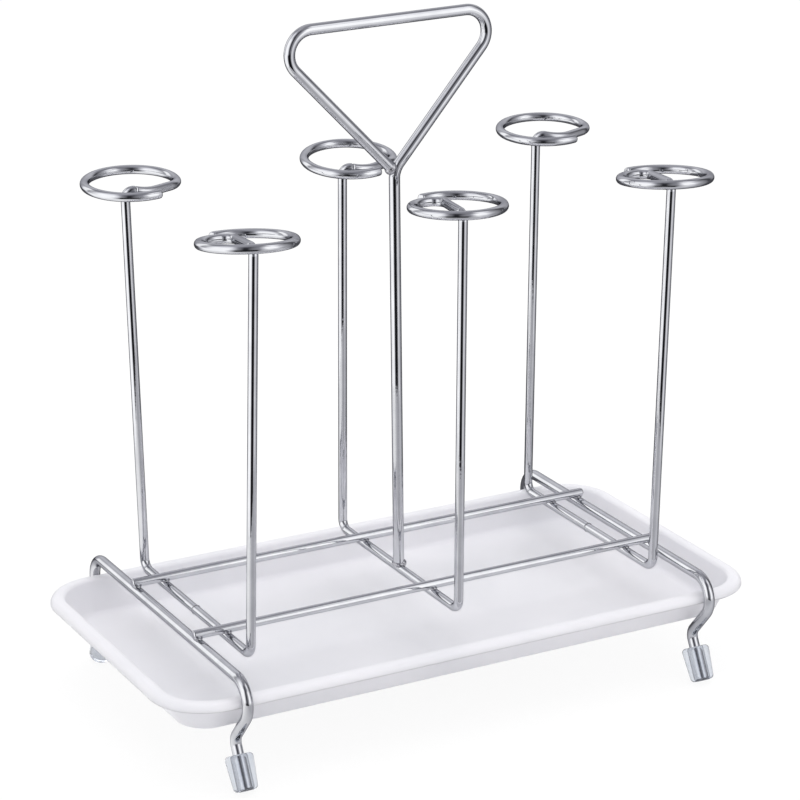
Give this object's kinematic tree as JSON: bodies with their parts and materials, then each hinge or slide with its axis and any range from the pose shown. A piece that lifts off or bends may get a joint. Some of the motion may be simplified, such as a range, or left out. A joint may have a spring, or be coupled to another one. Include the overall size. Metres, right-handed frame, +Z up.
{
  "type": "cup drying rack",
  "caption": "Chromed wire rack that holds upturned cups on upright posts with ring tops, with a triangular carry handle and a milky drip tray that slides out below.",
  "frame": {"origin": "on the floor, under the middle of the whole rack's outline", "axes": "+Z is up, +X runs along the two long rails, from the left end to the right end, and +Y points to the back"},
  "size_m": [0.2866, 0.1695, 0.2999],
  "materials": {
    "chromed_wire": "polished chrome plating on steel wire",
    "clear_pvc": "soft see-through plastic",
    "milky_plastic": "smooth milky translucent moulded plastic"
  },
  "bodies": {
    "rack": {"left_leg_frame": "chromed_wire", "right_leg_frame": "chromed_wire", "back_rail": "chromed_wire", "front_rail": "chromed_wire", "post_back_left": "chromed_wire", "post_back_middle": "chromed_wire", "post_back_right": "chromed_wire", "post_front_left": "chromed_wire", "post_front_middle": "chromed_wire", "post_front_right": "chromed_wire", "carry_handle": "chromed_wire", "foot_cap_front_left": "clear_pvc", "foot_cap_front_right": "clear_pvc", "foot_cap_back_left": "clear_pvc", "foot_cap_back_right": "clear_pvc"},
    "tray": {"drip_tray": "milky_plastic"}
  },
  "joints": [
    {"name": "tray_slide", "type": "slide", "parent": "rack", "child": "tray", "axis": [1, 0, 0], "range_m": [-0.11, 0.11]}
  ]
}
